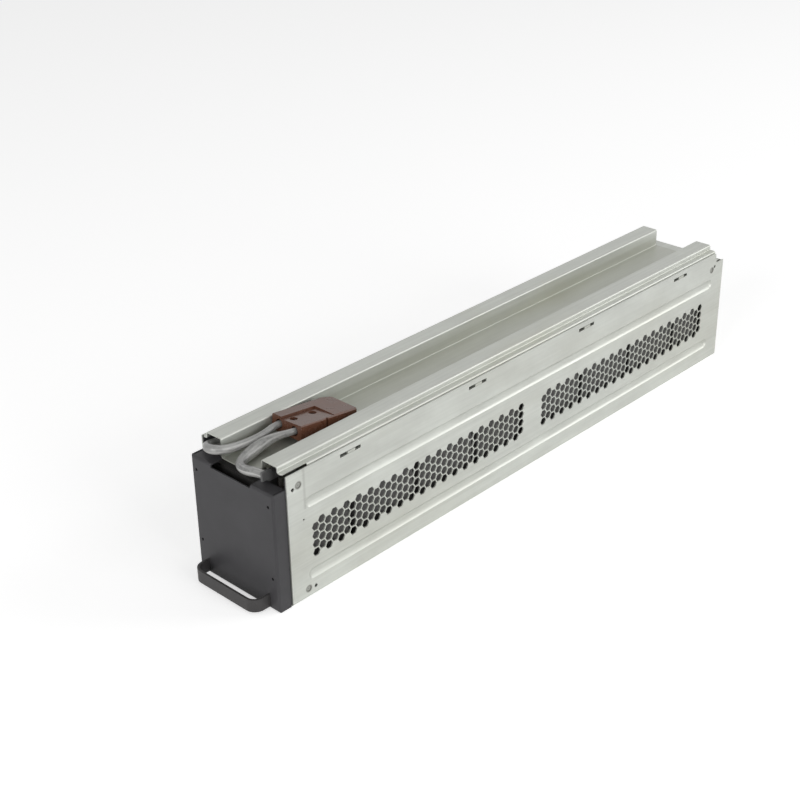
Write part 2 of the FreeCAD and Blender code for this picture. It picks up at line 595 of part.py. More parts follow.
def front_panel():
    """Fold the front pan: face, flanges, notched top and the ears that slide into the tray."""
    body = new_body("front_panel")
    half = "(tray_width / 2 - tray_sheet - fit_gap)"
    back = "(side_front + panel_tail)"
    sketch = sketch_on(body, "outside", "XZ_Plane")
    add_rectangle(sketch, f"-{half}", half, "0", "panel_height")
    pad(body, sketch, back, backwards=True)
    hollow = sketch_on(body, "inside", "XZ_Plane", "-panel_sheet")
    inside = f"{half} - panel_sheet"
    add_rectangle(hollow, f"-({inside})", inside, "panel_sheet", "panel_height - panel_sheet")
    pocket(body, hollow, back, backwards=False)

    bends = (("panel_bend + panel_sheet", "0", "0"), ("panel_bend", "panel_sheet", "panel_sheet"))
    for radius, depth, inset in bends:
        y, side = value(depth), value(f"{half} - {inset}")
        low, high = value(inset), value(f"panel_height - {inset}")
        upright = straight_edges(body.Shape, FreeCAD.Vector(0, 0, 1),
                                 lambda p: near(p.y, y) and near(abs(p.x), side))
        level = straight_edges(body.Shape, FreeCAD.Vector(1, 0, 0),
                               lambda p: near(p.y, y) and (near(p.z, low) or near(p.z, high)))
        fillet(body, upright + level, radius)

    clear = "panel_height * 2"
    trim = sketch_on(body, "trim", "YZ_Plane")
    floor_end = "(block_front - fit_gap * 2)"
    past = f"({back} + panel_sheet)"
    ear_start = "side_front - fit_gap"
    add_outline(trim, [
        (floor_end, "-panel_sheet"), (past, "-panel_sheet"), (past, "panel_ear_rise"),
        (ear_start, "panel_ear_rise"), (ear_start, "panel_sheet * 2"), (floor_end, "panel_sheet * 2"),
    ])
    ear_foot = "(panel_height - panel_sheet - panel_bend)"
    add_rectangle(trim, "side_front", past, ear_foot, clear)
    pocket(body, trim, "tray_width * 2", symmetric=True)
    slits = sketch_on(body, "slits", "XY_Plane", "panel_height + panel_sheet")
    for side in (1, -1):
        add_rectangle(slits, f"{side} * ({inside} - panel_slit)", f"{side} * ({inside})",
                      "panel_sheet + panel_bend", past)
    pocket(body, slits, "panel_sheet * 2 + panel_bend")
    for side, word in ((1, "right"), (-1, "left")):
        ear = sketch_on(body, f"{word}_ear", "YZ_Plane", f"{side} * {half}")
        add_rectangle(ear, "side_front + fit_gap", back, f"{ear_foot} - panel_ear_rise", "panel_ear_top")
        pad(body, ear, "panel_sheet", backwards=side > 0)
    ear_holes = sketch_on(body, "ear_holes", "YZ_Plane")
    add_circle(ear_holes, "side_front + fixing_top_setback", "fixing_top_level", "fixing_hole")
    add_circle(ear_holes, "side_front + pin_setback", "pin_level", "pin_hole * 2")
    pocket(body, ear_holes, "tray_width * 2", symmetric=True)

    notch = sketch_on(body, "notch", "XZ_Plane")
    add_rectangle(notch, "notch_shift - notch_width / 2", "notch_shift + notch_width / 2",
                  "panel_height - notch_depth", clear)
    pocket(body, notch, back, backwards=False)

    holes = sketch_on(body, "holes", "XZ_Plane")
    for across in (f"-({half} - panel_hole_inset)", f"{half} - panel_hole_inset"):
        for up in ("panel_hole_low", "panel_hole_high"):
            add_circle(holes, across, up, "panel_hole")
    for side in (1, -1):
        inner = f"{side} * (handle_width / 2 - handle_sheet - fit_gap)"
        outer = f"{side} * (handle_width / 2 + fit_gap)"
        add_rectangle(holes, inner, outer, "handle_rise - fit_gap", "handle_rise + handle_height + fit_gap")
    pocket(body, holes, "panel_sheet * 3", backwards=False)
    keep("front_panel", body)


def pull_handle():
    """Bend the handle from a flat strap, with two feet behind the front panel."""
    body = new_body("pull_handle")
    half, front, foot_back = "handle_width / 2", "-handle_reach", "(panel_sheet + handle_sheet)"
    right = [
        (half, front), (half, foot_back), (f"{half} - handle_foot", foot_back),
        (f"{half} - handle_foot", "panel_sheet"), (f"{half} - handle_sheet", "panel_sheet"),
        (f"{half} - handle_sheet", f"{front} + handle_sheet"),
    ]
    left = [(f"-({across})", along) for across, along in reversed(right)]
    sketch = sketch_on(body, "strap", "XY_Plane", "handle_rise")
    add_outline(sketch, right + left)
    pad(body, sketch, "handle_height")
    outer = [(half, front), (f"-{half}", front)]
    bend_side, bend_front = f"{half} - handle_sheet", f"{front} + handle_sheet"
    inner = [(bend_side, bend_front), (f"-({bend_side})", bend_front)]
    fold(body, (outer, inner), "handle_bend", "handle_sheet", FreeCAD.Vector(0, 0, 1), "xy")
    keep("pull_handle", body)


def rear_wall():
    """Fold the rear pan with its top flange and the ears that lie inside the side panels."""
    body = new_body("rear_wall")
    half = "(tray_width / 2 - tray_sheet - fit_gap)"
    low = "(tray_sheet + fit_gap)"
    sketch = sketch_on(body, "outside", "XZ_Plane", "-overall_length")
    add_rectangle(sketch, f"-{half}", half, low, "rear_wall_height")
    pad(body, sketch, "rear_ear")
    hollow = sketch_on(body, "inside", "XZ_Plane", "panel_sheet - overall_length")
    add_rectangle(hollow, f"-{half} + panel_sheet", f"{half} - panel_sheet",
                  low, "rear_wall_height - panel_sheet")
    pocket(body, hollow, "rear_ear", backwards=True)
    trim = sketch_on(body, "trim", "YZ_Plane")
    start = "overall_length - rear_ear - panel_sheet"
    add_rectangle(trim, start, "overall_length - rear_step_length + fit_gap",
                  "rear_wall_height - panel_sheet - panel_bend", "rear_wall_height * 2")
    add_rectangle(trim, start, "overall_length - panel_sheet", "0", "panel_ear_rise")
    for level in ("bead_low_height", "bead_high_height"):
        reach = "(bead_width / 2 + bead_margin)"
        add_rectangle(trim, start, f"overall_length - bead_rear_margin + {reach}",
                      f"{level} - {reach}", f"{level} + {reach}")
    pocket(body, trim, "tray_width * 2", symmetric=True)
    corner = sketch_on(body, "corner", "XY_Plane", "rear_wall_height + panel_sheet")
    for side in (1, -1):
        add_rectangle(corner, f"{side} * (tray_width / 2 - rear_flange_inset)", f"{side} * tray_width / 2",
                      start, "overall_length - panel_sheet - panel_bend - fit_gap")
    pocket(body, corner, "panel_sheet * 2 + panel_bend")
    hole = sketch_on(body, "hole", "YZ_Plane")
    add_circle(hole, "overall_length - fixing_rear_inset", "fixing_rear_level", "fixing_hole")
    pocket(body, hole, "tray_width * 2", symmetric=True)
    y, side, top = value("overall_length"), value(half), value("rear_wall_height")
    upright = straight_edges(body.Shape, FreeCAD.Vector(0, 0, 1),
                             lambda p: near(p.y, y) and near(abs(p.x), side))
    level = straight_edges(body.Shape, FreeCAD.Vector(1, 0, 0), lambda p: near(p.y, y) and near(p.z, top))
    fillet(body, upright + level, "panel_bend + panel_sheet")
    keep("rear_wall", body)


def block_start(number):
    """Return the formula for the front of a sealed block, counted from 1."""
    return f"(block_front + {number - 1} * block_pitch)"


def block(number):
    """Mould one sealed block: its case and the rim of its lid."""
    body = new_body(f"battery_{number}")
    front, rear = block_start(number), f"({block_start(number)} + block_length)"
    seat, lid = "tray_sheet", "(tray_sheet + block_height - lid_height)"
    half = "block_width / 2"
    case = sketch_on(body, "case", "XY_Plane", seat)
    add_rectangle(case, f"-{half} + lid_ledge", f"{half} - lid_ledge",
                  f"{front} + lid_ledge", f"{rear} - lid_ledge")
    pad(body, case, "block_height")
    cap = sketch_on(body, "lid", "XY_Plane", lid)
    add_rectangle(cap, f"-{half}", half, front, rear)
    pad(body, cap, "lid_height - lid_rim_drop")
    keep(f"battery_{number}", body)


def terminal_place(number):
    """Return the formula for how far back a block's terminals lie. Every second block is turned round."""
    if number % 2:
        return f"({block_start(number)} + terminal_inset)"
    return f"({block_start(number)} + block_length - terminal_inset)"


def terminal_tabs():
    """Set two flat tabs on every block."""
    base, tabs = value("tray_sheet + block_height"), []
    width, thickness, height = value("terminal_width"), value("terminal_sheet"), value("terminal_height")
    for number in range(1, int(value("block_count")) + 1):
        for side in (1, -1):
            corner = FreeCAD.Vector(side * value("terminal_spread") / 2 - thickness / 2,
                                    value(terminal_place(number)) - width / 2, base)
            tabs.append(Part.makeBox(thickness, width, height, corner))
    keep_shape("terminal_tabs", Part.makeCompound(tabs))


def link_strap(number):
    """Bend one link that joins two neighbouring blocks on one side of the row."""
    body = new_body(f"link_strap_{number}")
    side = 1 if number % 2 else -1
    first, second = terminal_place(number), terminal_place(number + 1)
    reach = "(terminal_width / 2 + receptacle_margin)"
    base, tip = "(tray_sheet + block_height)", "(tray_sheet + block_height + terminal_height)"
    top = f"({tip} + fit_gap + link_sheet)"
    sketch = sketch_on(body, "section", "YZ_Plane", f"{side} * terminal_spread / 2 - receptacle_width / 2")
    add_outline(sketch, [
        (f"{first} - {reach}", f"{base} + fit_gap"), (f"{first} + {reach}", f"{base} + fit_gap"),
        (f"{first} + {reach}", f"{top} - link_sheet"), (f"{second} - {reach}", f"{top} - link_sheet"),
        (f"{second} - {reach}", f"{base} + fit_gap"), (f"{second} + {reach}", f"{base} + fit_gap"),
        (f"{second} + {reach}", top), (f"{first} - {reach}", top),
    ])
    pad(body, sketch, "receptacle_width")
    mouths = sketch_on(body, "mouths", "XY_Plane", f"{base}")
    middle, slit = f"{side} * terminal_spread / 2", "(terminal_sheet / 2 + fit_gap / 2)"
    for place in (first, second):
        add_rectangle(mouths, f"{middle} - {slit}", f"{middle} + {slit}",
                      f"{place} - terminal_width / 2 - fit_gap", f"{place} + terminal_width / 2 + fit_gap")
    pocket(body, mouths, "terminal_height + fit_gap", backwards=True)
    keep(f"link_strap_{number}", body)


def return_strap():
    """Bend the strap that brings the last terminal forward through the right ridge."""
    last = terminal_place(int(value("block_count")))
    near_edge = "(valley_width / 2 + return_inset)"
    run_back = f"({last} - terminal_width / 2)"
    rise = "(return_level - return_low)"
    low, high, sheet = "return_low", "return_level", "link_sheet"
    body = new_body("return_strap")
    run = sketch_on(body, "run", "YZ_Plane", near_edge)
    climb = "(return_front + lead_terminal_length * 2)"
    add_outline(run, [
        ("return_front", high), (climb, high), (f"{climb} + {rise}", low),
        (f"{run_back} + return_width", low), (f"{run_back} + return_width", f"{low} + {sheet}"),
        (f"{climb} + {rise} + return_bend_offset", f"{low} + {sheet}"),
        (f"{climb} + return_bend_offset", f"{high} + {sheet}"), ("return_front", f"{high} + {sheet}"),
    ])
    pad(body, run, "return_run_width")
    cross = sketch_on(body, "cross", "XY_Plane", low)
    add_rectangle(cross, "-terminal_spread / 2 + terminal_sheet / 2", f"{near_edge} + return_width / 2",
                  run_back, f"{run_back} + return_width")
    pad(body, cross, sheet)
    keep("return_strap", body)


def foam_spacers():
    """Place a foam spacer behind every block."""
    pads = []
    count = int(value("block_count"))
    for number in range(1, count + 1):
        start = value(f"{block_start(number)} + block_length")
        end = value(block_start(number + 1)) if number < count else value("overall_length - panel_sheet")
        corner = FreeCAD.Vector(-value("spacer_width / 2"), start, value("tray_sheet"))
        pads.append(Part.makeBox(value("spacer_width"), end - start, value("spacer_height"), corner))
    keep_shape("foam_spacers", Part.makeCompound(pads))


def plug_placement():
    """Return where the connector lies, as it rests nose-up in the valley."""
    turn = FreeCAD.Rotation(FreeCAD.Vector(0, 0, 1), -value("plug_yaw"))
    turn = turn.multiply(FreeCAD.Rotation(FreeCAD.Vector(1, 0, 0), -value("plug_pitch")))
    turn = turn.multiply(FreeCAD.Rotation(FreeCAD.Vector(0, 1, 0), -value("plug_roll")))
    return FreeCAD.Placement(vector("plug_left", "plug_front", "plug_top"), turn)


def placed_in_plug(label, item):
    """Lay a piece of the connector in the valley and keep it."""
    item.Label = label
    frame = FreeCAD.Placement(vector("0", SHIFT, "0"), FreeCAD.Rotation())
    item.Placement = frame.multiply(plug_placement())
    PARTS.append(item)


def connector_housing():
    """Mould the connector: Y from the lead entries to the mating end, Z = 0 on its top."""
    body = new_body("connector_housing")
    half, depth = "plug_width / 2", "-plug_height"
    plan = sketch_on(body, "plan", "XY_Plane", depth)
    add_outline(plan, [
        (f"-{half}", "0"), (half, "0"), (half, "plug_length"),
        (f"-{half} + plug_corner", "plug_length"), (f"-{half}", "plug_length - plug_corner * 2"),
    ])
    pad(body, plan, "plug_height")
    recess = sketch_on(body, "recess", "XZ_Plane")
    strip = "(plug_strip - plug_width / 2)"
    add_outline(recess, [(strip, "-plug_recess"), (half, "-plug_recess_edge"), (half, "plug_recess"),
                         (strip, "plug_recess")])
    pocket(body, recess, "plug_recess_length")
    edges = sketch_on(body, "edges", "XZ_Plane")
    for side in (1, -1):
        add_outline(edges, [
            (f"{side} * ({half} - plug_edge)", "0"), (f"{side} * {half}", "-plug_edge"),
            (f"{side} * ({half} + plug_edge)", "-plug_edge"), (f"{side} * ({half} + plug_edge)", "plug_edge"),
            (f"{side} * ({half} - plug_edge)", "plug_edge"),
        ])
    pocket(body, edges, "plug_length * 1.5")
    for name, diameter, depth in (("bores", "plug_bore", "plug_height * 1.5"),
                                  ("counterbores", "plug_counterbore", "plug_counterbore_depth")):
        holes = sketch_on(body, name, "XY_Plane")
        add_circle(holes, "0", "plug_bore_first", diameter)
        add_circle(holes, "0", "plug_bore_first + plug_bore_pitch", diameter)
        pocket(body, holes, depth)
    groove = sketch_on(body, "groove", "XY_Plane")
    for side in (1, -1):
        add_rectangle(groove, f"{side} * ({half} - plug_recess / 2)", f"{side} * ({half} + plug_recess)",
                      "plug_bore_first + plug_bore_pitch - groove_width / 2",
                      "plug_bore_first + plug_bore_pitch + groove_width / 2")
    pocket(body, groove, "plug_height * 1.5")
    entries = sketch_on(body, "entries", "XZ_Plane")
    mouths = sketch_on(body, "mouths", "XZ_Plane", "-plug_length")
    for side in (1, -1):
        pole = f"{side} * pole_pitch / 2"
        add_circle(entries, pole, "-pole_level", "lead_diameter + fit_gap * 2")
        add_rectangle(mouths, f"{pole} - pole_width / 2", f"{pole} + pole_width / 2",
                      "-pole_level - pole_height / 2", "-pole_level + pole_height / 2")
    pocket(body, entries, "entry_depth")
    pocket(body, mouths, "pole_depth", backwards=True)
    channels = sketch_on(body, "channels", "XZ_Plane", "-entry_depth")
    for side in (1, -1):
        pole = f"{side} * pole_pitch / 2"
        add_rectangle(channels, f"{pole} - contact_width / 2", f"{pole} + contact_width / 2",
                      "-pole_level - contact_sheet / 2", "-pole_level + contact_sheet / 2")
    pocket(body, channels, "plug_length - entry_depth - pole_depth / 2")
    placed_in_plug("connector_housing", body)


def connector_contact(word, side):
    """Stamp one contact, held in the channel between a lead entry and its mating mouth."""
    body = new_body(f"connector_contact_{word}")
    pole = f"{side} * pole_pitch / 2"
    sketch = sketch_on(body, "blade", "XZ_Plane", "-entry_depth")
    add_rectangle(sketch, f"{pole} - contact_width / 2", f"{pole} + contact_width / 2",
                  "-pole_level - contact_sheet / 2", "-pole_level + contact_sheet / 2")
    pad(body, sketch, "plug_length - entry_depth - contact_setback", backwards=True)
    placed_in_plug(f"connector_contact_{word}", body)


def entry_point(side, depth):
    """Return a point on the axis of a lead entry, a depth inside the connector."""
    return plug_placement().multVec(vector(f"{side} * pole_pitch / 2", depth, "-pole_level"))


def lead_path(points, label):
    """Join straight runs with tangent arcs, as large as the shorter run beside each corner allows."""
    edges = []
    position = points[0]
    for before, corner, after in zip(points, points[1:], points[2:]):
        back, ahead = before - corner, after - corner
        half_turn = (math.pi - back.getAngle(ahead)) / 2
        trim = 0.45 * min(back.Length, ahead.Length)
        radius = trim / math.tan(half_turn)
        back.normalize()
        ahead.normalize()
        start, end = corner + back * trim, corner + ahead * trim
        bisector = (back + ahead).normalize()
        middle = corner + bisector * (radius / math.cos(half_turn) - radius)
        edges.append(Part.LineSegment(position, start).toShape())
        edges.append(Part.Arc(start, middle, end).toShape())
        position = end
        print(f"{label}: bend radius {radius:.1f} mm at turn {math.degrees(2 * half_turn):.0f} degrees")
    edges.append(Part.LineSegment(position, points[-1]).toShape())
    return Part.Wire(edges)


def lead(label, route, side):
    """Sweep one sleeved lead from its terminal in the ridge to its entry in the connector."""
    points = [FreeCAD.Vector(*point) for point in route]
    points += [entry_point(side, "-lead_diameter / 2"), entry_point(side, "entry_depth")]
    path = lead_path(points, label)
    radius = value("lead_diameter / 2")
    start = points[1] - points[0]
    ring = Part.Wire(Part.makeCircle(radius, points[0], start))
    tube = path.makePipeShell([ring], True, False)
    section = math.pi * radius ** 2
    share = tube.Volume / (section * path.Length)
    print(f"{label}: length {path.Length:.1f} mm, volume {share:.4f} of section x length")
    keep_shape(label, tube)


def lead_terminal(label, side, route, number):
    """Mould the insulated terminal of a lead, which sits on the tab of a block."""
    body = new_body(label)
    middle, start = f"{side} * terminal_spread / 2", f"{route[0][1]}"
    base = "(tray_sheet + block_height)"
    shelf = f"({base} + terminal_height + link_sheet + fit_gap * 2)"
    barrel = sketch_on(body, "barrel", "YZ_Plane", f"{middle} - lead_terminal_width / 2")
    add_rectangle(barrel, start, f"{start} + lead_terminal_length", shelf, "return_level")
    pad(body, barrel, "lead_terminal_width")
    place = terminal_place(number)
    foot = sketch_on(body, "foot", "YZ_Plane", f"{middle} - lead_terminal_width / 2")
    add_rectangle(foot, f"{place} - terminal_width / 2 - receptacle_margin",
                  f"{place} + terminal_width / 2 + receptacle_margin * 2", f"{base} + fit_gap", shelf)
    pad(body, foot, "lead_terminal_width")
    mouth = sketch_on(body, "mouth", "XY_Plane", base)
    slit = "(terminal_sheet / 2 + fit_gap / 2)"
    add_rectangle(mouth, f"{middle} - {slit}", f"{middle} + {slit}",
                  f"{place} - terminal_width / 2 - fit_gap", f"{place} + terminal_width / 2 + fit_gap")
    pocket(body, mouth, "terminal_height + fit_gap", backwards=True)
    keep(label, body)


def flag_terminal(label, route):
    """Mould the flag terminal under the front end of the return strap, with its barrel at the lead's end."""
    body = new_body(label)
    start_y, start_z = (str(number) for number in route[0][1:])
    plate = sketch_on(body, "plate", "YZ_Plane", "flag_side - flag_width")
    add_rectangle(plate, "flag_front", "flag_front + flag_length", "return_level - flag_drop", "return_level")
    pad(body, plate, "flag_width")
    barrel = sketch_on(body, "barrel", "YZ_Plane", "flag_side - flag_overlap")
    radius = "lead_diameter / 2"
    add_rectangle(barrel, f"{start_y} - {radius}", "return_front - fit_gap",
                  f"{start_z} - {radius}", f"{start_z} + {radius}")
    pad(body, barrel, "flag_barrel")
    keep(label, body)


def check_parts():
    """Stop unless every object is up to date and every part is a valid shape."""
    DOCUMENT.recompute()
    for item in DOCUMENT.Objects:
        if "Invalid" in item.State or "Error" in item.State:
            raise ValueError(f"{item.Label} failed: {item.State}")
    for part in PARTS:
        if part.Shape.isNull() or not part.Shape.isValid() or part.Shape.Volume <= 0:
            raise ValueError(f"{part.Label} has no valid shape")


def main():
    """Build every part and write each one to its own STEP file."""
    fill_sheet()
    tray()
    cover()
    front_panel()
    pull_handle()
    rear_wall()
    blocks = int(value("block_count"))
    for number in range(1, blocks + 1):
        block(number)
    terminal_tabs()
    for number in range(1, blocks):
        link_strap(number)
    return_strap()
    foam_spacers()
    connector_housing()
    connector_contact("left", -1)
    connector_contact("right", 1)
    lead_terminal("left_lead_terminal", -1, LEFT_ROUTE, 1)
    flag_terminal("right_lead_terminal", RIGHT_ROUTE)
    lead("left_lead", LEFT_ROUTE, -1)
    lead("right_lead", RIGHT_ROUTE, 1)
    check_parts()
    os.makedirs("parts", exist_ok=True)
    for part in PARTS:
        part.Shape.exportStep(f"parts/{part.Label}.step")


main()
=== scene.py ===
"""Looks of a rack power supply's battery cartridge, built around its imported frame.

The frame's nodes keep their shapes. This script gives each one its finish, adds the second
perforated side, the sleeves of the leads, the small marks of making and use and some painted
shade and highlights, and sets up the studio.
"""

import json
import logging
import math
from dataclasses import dataclass
from enum import Enum
from typing import Iterable

import bpy
from mathutils import Euler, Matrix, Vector

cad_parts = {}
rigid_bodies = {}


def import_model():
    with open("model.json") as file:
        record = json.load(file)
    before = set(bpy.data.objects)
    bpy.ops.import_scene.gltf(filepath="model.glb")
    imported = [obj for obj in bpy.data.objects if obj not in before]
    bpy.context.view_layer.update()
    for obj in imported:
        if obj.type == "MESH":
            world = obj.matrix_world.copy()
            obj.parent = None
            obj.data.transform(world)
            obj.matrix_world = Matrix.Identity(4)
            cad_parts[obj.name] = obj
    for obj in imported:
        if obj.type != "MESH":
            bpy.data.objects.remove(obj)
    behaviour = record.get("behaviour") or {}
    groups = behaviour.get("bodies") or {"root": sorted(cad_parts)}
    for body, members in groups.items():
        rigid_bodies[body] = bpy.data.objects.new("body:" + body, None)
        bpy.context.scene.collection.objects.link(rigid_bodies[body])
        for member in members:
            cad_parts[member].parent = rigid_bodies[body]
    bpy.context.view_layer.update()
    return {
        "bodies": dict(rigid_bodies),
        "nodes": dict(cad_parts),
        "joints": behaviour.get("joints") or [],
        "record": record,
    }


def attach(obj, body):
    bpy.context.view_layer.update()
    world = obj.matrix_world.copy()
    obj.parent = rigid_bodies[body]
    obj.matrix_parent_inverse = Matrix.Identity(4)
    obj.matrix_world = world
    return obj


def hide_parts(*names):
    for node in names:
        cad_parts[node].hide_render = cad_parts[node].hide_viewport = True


LOG = logging.getLogger("battery_cartridge")

# Places are in millimetres, and along Y they are measured from the face of the front panel.
# SHIFT_Y takes them to the frame's origin, halfway between the pull handle and the rear end.
MM = 0.001
HANDLE_REACH = 17.0
PANEL_TO_REAR = 625.0
SHIFT_Y = (HANDLE_REACH - PANEL_TO_REAR) / 2

MERGE_REACH = 0.002 * MM
FACE_WEIGHT = 100

Point = tuple[float, float, float]
Colour = tuple[float, float, float]
Stops = tuple[tuple[float, float], ...]


# ---------------------------------------------------------------- patterns and node trees


class Ramp(Enum):
    """How a colour ramp goes from one stop to the next."""

    LINEAR = "LINEAR"
    SMOOTH = "EASE"


@dataclass(frozen=True)
class Pattern:
    """A noise pattern on a surface.

    Attributes:
        scale: Scale of the noise.
        along: Share of the scale that holds along Y. A small share draws the noise into lines.
        detail: Octaves of the noise.
        roughness: Weight of each octave against the one before it.
        stops: Place and grey level of each stop of its ramp, from low to high.
    """

    scale: float
    along: float = 1.0
    detail: float = 3.0
    roughness: float = 0.55
    stops: Stops = ((0.0, 0.0), (1.0, 1.0))


@dataclass(frozen=True)
class Relief(Pattern):
    """A noise pattern that raises the surface.

    Attributes:
        strength: Share of the relief that shows.
        depth: Depth of the relief in millimetres.
    """

    strength: float = 0.2
    depth: float = 0.05


@dataclass
class NodeTree:
    """Short ways to add and join the nodes of one material or world.

    Attributes:
        material: The material or world that the nodes belong to.
    """

    material: bpy.types.Material | bpy.types.World

    def add(self, kind: str, **settings: object) -> bpy.types.Node:
        """Add a node and set its properties.

        Args:
            kind: The node's Blender type.
            settings: Properties of the node by name.

        Returns:
            The new node.
        """
        node = self.material.node_tree.nodes.new(kind)
        for name, setting in settings.items():
            setattr(node, name, setting)
        return node

    def plug(self, socket: bpy.types.NodeSocket, source: object) -> None:
        """Link a socket to another one, or set its value.

        Args:
            socket: The input to link or set.
            source: A socket or a plain value.
        """
        if isinstance(source, bpy.types.NodeSocket):
            self.material.node_tree.links.new(source, socket)
        else:
            socket.default_value = source

    def feed(self, node: bpy.types.Node, **inputs: object) -> bpy.types.Node:
        """Link or set a node's inputs.

        Args:
            node: The node that takes the inputs.
            inputs: Sockets or plain values by input name, with underscores for spaces.

        Returns:
            The same node.
        """
        for name, source in inputs.items():
            self.plug(node.inputs[name.replace("_", " ")], source)
        return node

    def place(self, stretch: Point = (1.0, 1.0, 1.0), kind: str = "Object") -> bpy.types.NodeSocket:
        """Return coordinates, stretched along the axes.

        Args:
            stretch: Factor on each axis.
            kind: Which coordinates to read, Object or UV.

        Returns:
            The coordinates' socket.
        """
        source = self.add("ShaderNodeTexCoord")
        mapping = self.add("ShaderNodeMapping")
        self.feed(mapping, Vector=source.outputs[kind], Scale=stretch)
        return mapping.outputs["Vector"]

    def split(self, where: bpy.types.NodeSocket) -> bpy.types.NodeOutputs:
        """Return the outputs X, Y and Z of a place."""
        node = self.add("ShaderNodeSeparateXYZ")
        return self.feed(node, Vector=where).outputs

    def noise(self, pattern: Pattern,
              where: bpy.types.NodeSocket | None = None) -> bpy.types.NodeSocket:
        """Return a pattern's noise.

        Args:
            pattern: What the noise is like.
            where: The place to read it at, or none for Object coordinates.

        Returns:
            The noise value's socket.
        """
        if where is None:
            where = self.place((1.0, pattern.along, 1.0))
        node = self.add("ShaderNodeTexNoise")
        self.feed(node, Vector=where, Scale=pattern.scale, Detail=pattern.detail,
                  Roughness=pattern.roughness)
        return node.outputs["Fac"]

    def ramp(self, value: bpy.types.NodeSocket, stops: Stops,
             kind: Ramp = Ramp.LINEAR) -> bpy.types.NodeSocket:
        """Return the value passed through a grey ramp.

        Args:
            value: The value that picks the place on the ramp.
            stops: Place and grey level of each stop, from low to high.
            kind: How the ramp goes between its stops.

        Returns:
            The ramp's colour socket.
        """
        node = self.add("ShaderNodeValToRGB")
        node.color_ramp.interpolation = kind.value
        elements = node.color_ramp.elements
        while len(elements) < len(stops):
            elements.new(0.5)
        for element, (place, level) in zip(elements, stops):
            element.position = place
            element.color = (level, level, level, 1.0)
        self.feed(node, Fac=value)
        return node.outputs["Color"]

    def shades(self, pattern: Pattern) -> bpy.types.NodeSocket:
        """Return a pattern's noise passed through its own ramp."""
        return self.ramp(self.noise(pattern), pattern.stops)

    def blend(self, amount: object, first: object, second: object) -> bpy.types.NodeSocket:
        """Return a mix of two colours.

        Args:
            amount: Share of the second colour.
            first: First colour or socket.
            second: Second colour or socket.

        Returns:
            The mixed colour's socket.
        """
        node = self.add("ShaderNodeMix", data_type="RGBA", blend_type="MIX")
        self.plug(node.inputs[0], amount)
        for socket, colour in zip(node.inputs[6:8], (first, second)):
            self.plug(socket, (*colour, 1.0) if isinstance(colour, tuple) else colour)
        return node.outputs[2]

    def calculate(self, operation: str, *values: object) -> bpy.types.NodeSocket:
        """Return the result of one math operation.

        Args:
            operation: The operation's Blender name.
            values: The sockets or numbers that it works on.

        Returns:
            The result's socket.
        """
        node = self.add("ShaderNodeMath", operation=operation)
        for socket, source in zip(node.inputs, values):
            self.plug(socket, source)
        return node.outputs[0]

    def bump(self, height: bpy.types.NodeSocket, strength: float, depth: float) -> bpy.types.NodeSocket:
        """Return a normal bumped by a height.

        Args:
            height: The height's socket.
            strength: Share of the bump that shows.
            depth: Depth of the bump in millimetres.

        Returns:
            The normal's socket.
        """
        node = self.add("ShaderNodeBump")
        self.feed(node, Height=height, Strength=strength, Distance=depth * MM)
        return node.outputs["Normal"]

    def raised(self, relief: Relief) -> bpy.types.NodeSocket:
        """Return a normal bumped by a relief."""
        return self.bump(self.noise(relief), relief.strength, relief.depth)


# ---------------------------------------------------------------- finishes


@dataclass(frozen=True)
class Finish:
    """What every finish has: a name, a colour and the shader's plain settings.

    Attributes:
        name: The material's name.
        colour: Base colour, linear.
        metallic: How far the surface is metal.
        roughness: Mean roughness.
    """

    name: str
    colour: Colour
    metallic: float
    roughness: float

    def build(self) -> bpy.types.Material:
        """Build the finish's material.

        Returns:
            The new material.
        """
        material = bpy.data.materials.new(self.name)
        material.use_nodes = True
        material.diffuse_color = (*self.colour, 1.0)
        shader = material.node_tree.nodes["Principled BSDF"]
        shader.inputs["Base Color"].default_value = (*self.colour, 1.0)
        shader.inputs["Metallic"].default_value = self.metallic
        shader.inputs["Roughness"].default_value = self.roughness
        self.detail(NodeTree(material), shader)
        return material

    def detail(self, tree: NodeTree, shader: bpy.types.Node) -> None:
        """Add what sets the finish apart.

        Args:
            tree: The material's nodes.
            shader: The material's shader, which takes the detail.
        """
        raise NotImplementedError


